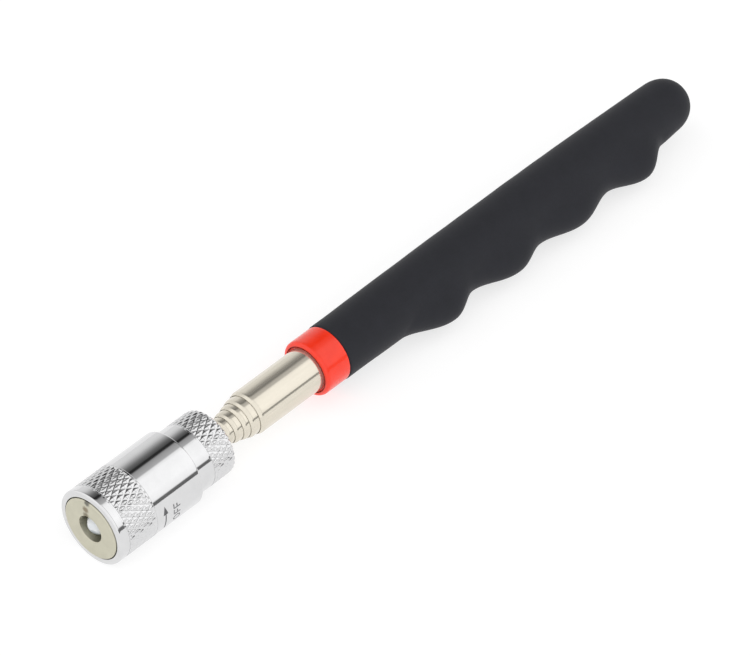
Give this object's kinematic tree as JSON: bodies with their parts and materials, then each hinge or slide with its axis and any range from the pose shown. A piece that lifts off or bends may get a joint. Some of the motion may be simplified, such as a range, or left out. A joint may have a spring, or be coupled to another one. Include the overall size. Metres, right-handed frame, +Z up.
{
  "type": "telescoping magnetic pick-up tool",
  "caption": "Collapsed telescoping pick-up tool: chromed twist head with a ring magnet and lamp, nested steel tubes, red collar and a soft black finger grip.",
  "frame": {"origin": "centre of the ring magnet's front face, on the tool's axis", "axes": "+X from the magnet's face along the tool's axis to the end of the grip; +Z up, with the tool lying on its side; the finger edges of the grip face -Y"},
  "size_m": [0.1891, 0.0195, 0.018],
  "materials": {
    "grip_foam": "matte soft black foam rubber",
    "red_plastic": "glossy",
    "polished_steel": "polished, warm nickel tone",
    "plain_steel": "plain",
    "chrome": "polished",
    "magnet_nickel": "dull nickel plating",
    "clear_lens": "clear resin",
    "dark_plastic": "matte",
    "brass": "plain",
    "cell_steel": "plain"
  },
  "bodies": {
    "handle": {"grip": "grip_foam", "collar": "red_plastic", "outer_tube": "polished_steel", "end_plug": "dark_plastic"},
    "section_2": {"section_tube_2": "polished_steel", "rear_ferrule_2": "brass", "friction_shim_2": "brass"},
    "section_3": {"section_tube_3": "polished_steel", "rear_ferrule_3": "brass", "friction_shim_3": "brass"},
    "section_4": {"section_tube_4": "polished_steel", "rear_ferrule_4": "brass", "friction_shim_4": "brass"},
    "section_5": {"section_tube_5": "polished_steel", "rear_ferrule_5": "brass", "friction_shim_5": "brass"},
    "section_6": {"section_tube_6": "polished_steel", "rear_ferrule_6": "brass", "friction_shim_6": "brass"},
    "swivel_eye": {"rod_eye": "plain_steel"},
    "head_rear": {"rear_barrel": "chrome", "pivot_pin": "plain_steel", "battery_sleeve": "dark_plastic", "button_cell_1": "cell_steel", "button_cell_2": "cell_steel", "button_cell_3": "cell_steel", "contact_spring": "brass"},
    "lamp": {"led": "clear_lens", "led_holder": "dark_plastic", "lead_to_cell": "plain_steel", "lead_to_barrel": "plain_steel", "contact_disc": "brass"},
    "head_front": {"front_barrel": "chrome", "magnet": "magnet_nickel"}
  },
  "joints": [
    {"name": "slide_2", "type": "slide", "parent": "handle", "child": "section_2", "axis": [-1, 0, 0], "range_m": [0, 0.1216]},
    {"name": "slide_3", "type": "slide", "parent": "section_2", "child": "section_3", "axis": [-1, 0, 0], "range_m": [0, 0.1195]},
    {"name": "slide_4", "type": "slide", "parent": "section_3", "child": "section_4", "axis": [-1, 0, 0], "range_m": [0, 0.1167]},
    {"name": "slide_5", "type": "slide", "parent": "section_4", "child": "section_5", "axis": [-1, 0, 0], "range_m": [0, 0.1143]},
    {"name": "slide_6", "type": "slide", "parent": "section_5", "child": "section_6", "axis": [-1, 0, 0], "range_m": [0, 0.1117]},
    {"name": "head_swivel", "type": "hinge", "parent": "section_6", "child": "swivel_eye", "pos_m": [0.0363, 0, 0], "axis": [1, 0, 0], "continuous": true},
    {"name": "head_tilt", "type": "hinge", "parent": "swivel_eye", "child": "head_rear", "pos_m": [0.033, 0, 0], "axis": [0, 0, -1], "range_deg": [0, 90]},
    {"name": "screw_travel", "type": "slide", "parent": "head_rear", "child": "lamp", "axis": [1, 0, 0], "range_m": [-0.011, 0.00022]},
    {"name": "head_twist", "type": "hinge", "parent": "lamp", "child": "head_front", "pos_m": [0.0243, 0, 0], "axis": [1, 0, 0], "range_deg": [-3960.5, 80.5]}
  ],
  "couplings": [
    {"joint": "head_twist", "follows": "screw_travel", "rad_per_m": 6283.2}
  ]
}
